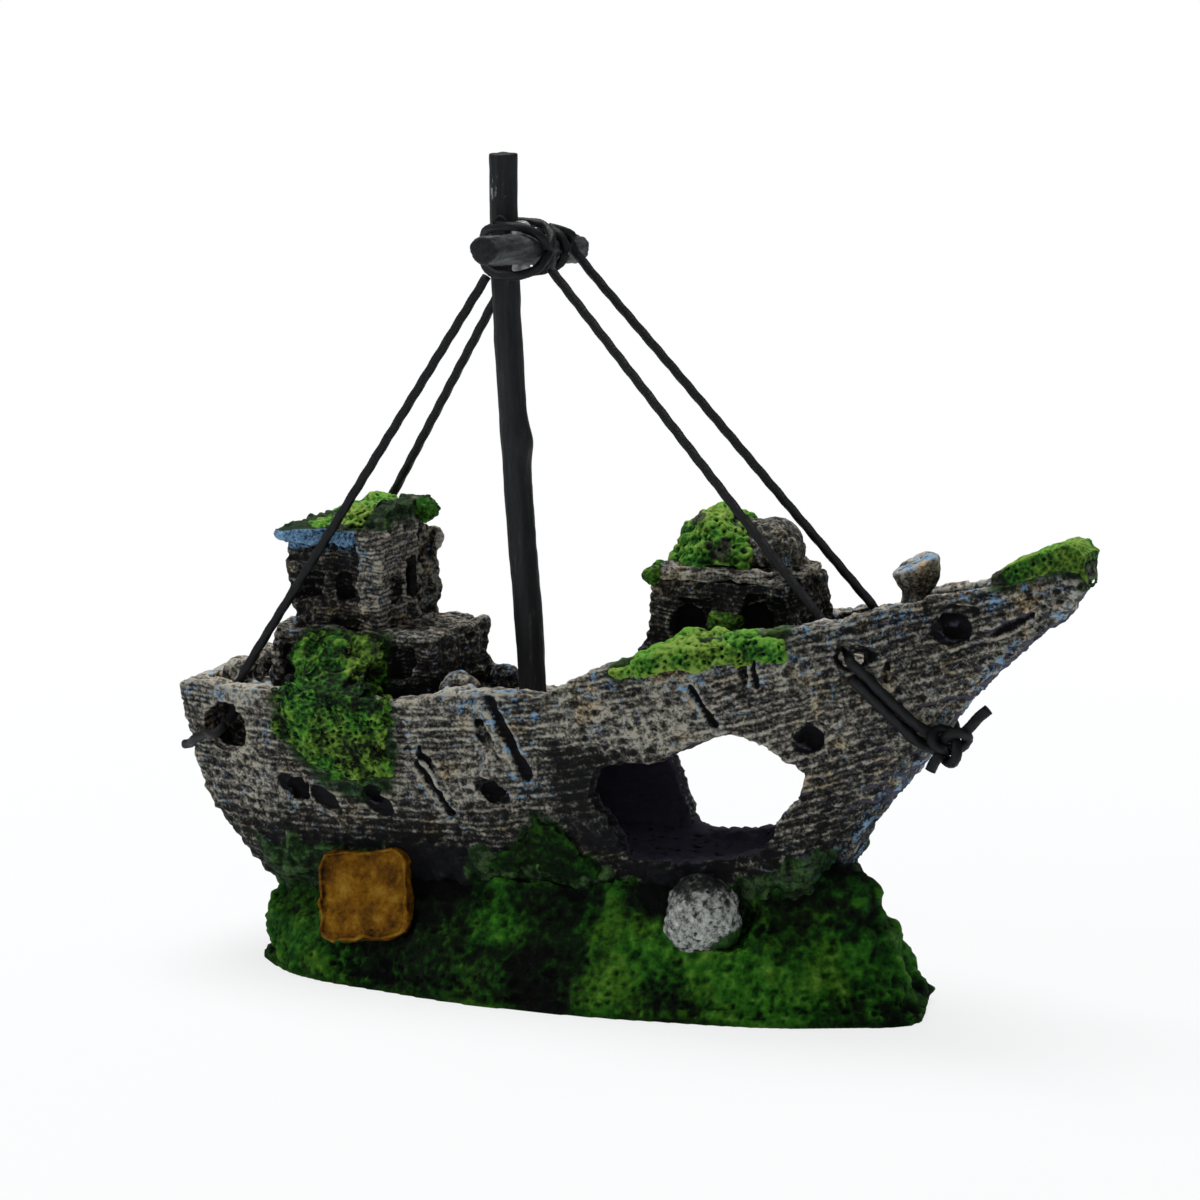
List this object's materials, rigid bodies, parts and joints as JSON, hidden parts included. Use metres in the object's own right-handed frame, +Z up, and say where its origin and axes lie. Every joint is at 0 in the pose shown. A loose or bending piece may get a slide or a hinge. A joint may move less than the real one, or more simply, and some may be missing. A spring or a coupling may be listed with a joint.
{
  "type": "aquarium sunken ship ornament",
  "caption": "Broken resin fishing-boat wreck on a mossy rock, with a through hole in the hull, a twig mast and black cord rigging.",
  "frame": {"origin": "middle of the length and width of the part's box, at the underside of the rock", "axes": "+X towards the bow, +Y to port, +Z up"},
  "size_m": [0.1382, 0.0448, 0.1205],
  "materials": {
    "stone": "cast resin, grooved like weathered planking, grey-brown paint dry-brushed pale over near-black hollows, with thin blue flecks",
    "dark_stone": "the same cast resin, darker wash, with small courses and blue wear along the edges",
    "moss": "bright green sponge-like painted moss coat",
    "deep_moss": "deep green pitted painted coat over a dark casting",
    "ochre": "smooth ochre-yellow painted plate",
    "shell_white": "white and pale grey speckled paint",
    "black_wood": "black-stained twig with fine grain and pale scuffs",
    "cord": "black waxed twisted cord",
    "glue": "dried pale glue"
  },
  "bodies": {
    "root": {"rock_base": "deep_moss", "hull": "stone", "aft_deckhouse": "dark_stone", "aft_tower": "dark_stone", "tower_front": "stone", "tower_roof": "stone", "fore_cabin": "stone", "cabin_eaves": "stone", "cabin_roof_heap": "dark_stone", "bow_post": "stone", "deck_stones": "stone", "stern_rubble": "shell_white", "plaque": "ochre", "white_shell": "shell_white", "mast": "black_wood", "spar": "black_wood", "glue_beads": "glue", "mast_lashing": "cord", "forestay_starboard": "cord", "forestay_port": "cord", "aft_stay_starboard": "cord", "aft_stay_port": "cord", "stern_loop": "cord", "bow_wrap": "cord", "bow_knot": "cord", "moss_tower": "moss", "moss_curtain": "moss", "moss_cabin": "moss", "moss_gunwale": "moss", "moss_bow": "moss", "moss_tongue": "deep_moss"}
  },
  "joints": []
}
